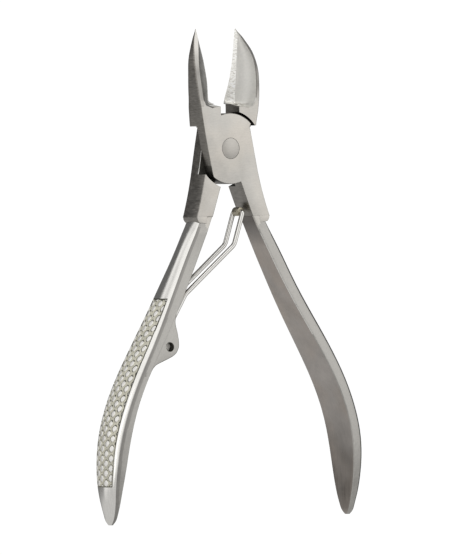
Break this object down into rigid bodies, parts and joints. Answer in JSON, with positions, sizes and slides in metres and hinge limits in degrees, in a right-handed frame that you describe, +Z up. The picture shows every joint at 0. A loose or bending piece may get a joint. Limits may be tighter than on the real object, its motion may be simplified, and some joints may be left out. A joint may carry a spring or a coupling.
{
  "type": "nail nipper",
  "caption": "Plier-type nail nipper with a half-lap pivot, concave cutting jaws, textured curved handles and a wire return spring with a roller.",
  "frame": {"origin": "on the pivot axis, in the rear face of the half-lap joint", "axes": "+Z up through the jaws along the tool's centre line, +X to the right handle's side, +Y to the rear along the pivot axis, out of the joint's rear face"},
  "size_m": [0.0771, 0.0112, 0.1228],
  "materials": {
    "lever_steel": "satin",
    "rivet_steel": "ground flush",
    "spring_wire": "bright drawn wire",
    "roller_steel": "satin"
  },
  "bodies": {
    "rear_lever_body": {"rear_lever": "lever_steel", "pivot_rivet": "rivet_steel", "spring_pin": "rivet_steel", "spring_coil": "spring_wire"},
    "front_lever_body": {"front_lever": "lever_steel"},
    "spring_arm_body": {"spring_arm": "spring_wire"},
    "roller_body": {"spring_roller": "roller_steel"}
  },
  "joints": [
    {"name": "lever_pivot", "type": "hinge", "parent": "rear_lever_body", "child": "front_lever_body", "pos_m": [0, -0.003, 0], "axis": [0, 1, 0], "range_deg": [-4, 22.3], "stiffness_Nm_per_rad": 0.5},
    {"name": "arm_pivot", "type": "hinge", "parent": "rear_lever_body", "child": "spring_arm_body", "pos_m": [-0.0207, -0.003, -0.049], "axis": [0, -1, 0], "range_deg": [-2.2, 11.3]},
    {"name": "roller_spin", "type": "hinge", "parent": "spring_arm_body", "child": "roller_body", "pos_m": [0.004, -0.003, -0.01585], "axis": [0, 1, 0], "continuous": true}
  ],
  "couplings": [
    {"joint": "arm_pivot", "follows": "lever_pivot", "ratio": 0.5}
  ]
}
